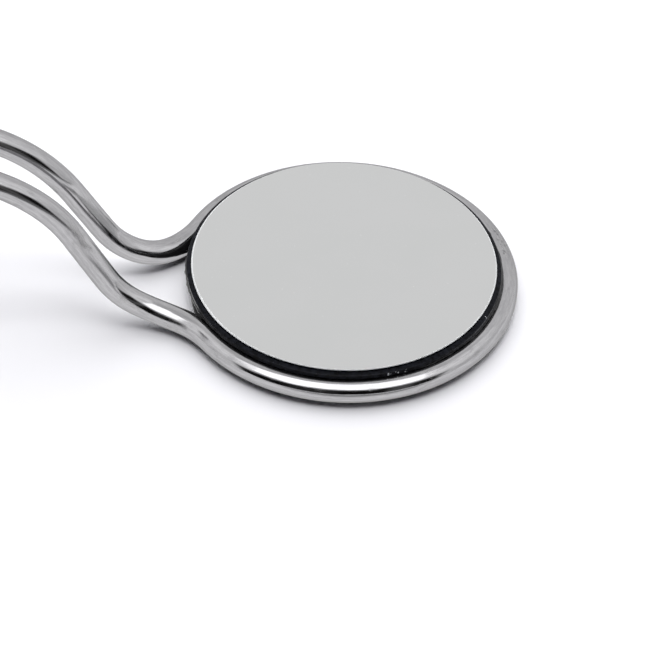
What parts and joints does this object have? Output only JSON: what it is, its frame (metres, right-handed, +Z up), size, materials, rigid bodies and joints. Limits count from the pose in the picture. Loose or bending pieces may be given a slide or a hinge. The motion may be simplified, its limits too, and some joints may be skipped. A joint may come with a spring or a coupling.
{
  "type": "mouth mirror",
  "caption": "Hand mirror for looking into the mouth: a round mirror disc glued into a ring of bent steel wire that runs back as a twin-wire gooseneck handle.",
  "frame": {"origin": "centre of the backing disc's flat underside, on the table, on the axis of the wire ring", "axes": "+Z up, out of the mirror's face; the handle runs towards -X; +Y completes the right-handed frame"},
  "size_m": [0.1649, 0.0458, 0.0273],
  "materials": {
    "polished_wire": "polished",
    "glass_plate": "ground edge, painted dark",
    "mirror_face": "polished",
    "backing": "satin",
    "adhesive": "satin"
  },
  "bodies": {
    "root": {"wire_frame": "polished_wire", "mirror_glass": "glass_plate", "mirror_coating": "mirror_face", "backing_disc": "backing", "adhesive_bed": "adhesive"}
  },
  "joints": []
}
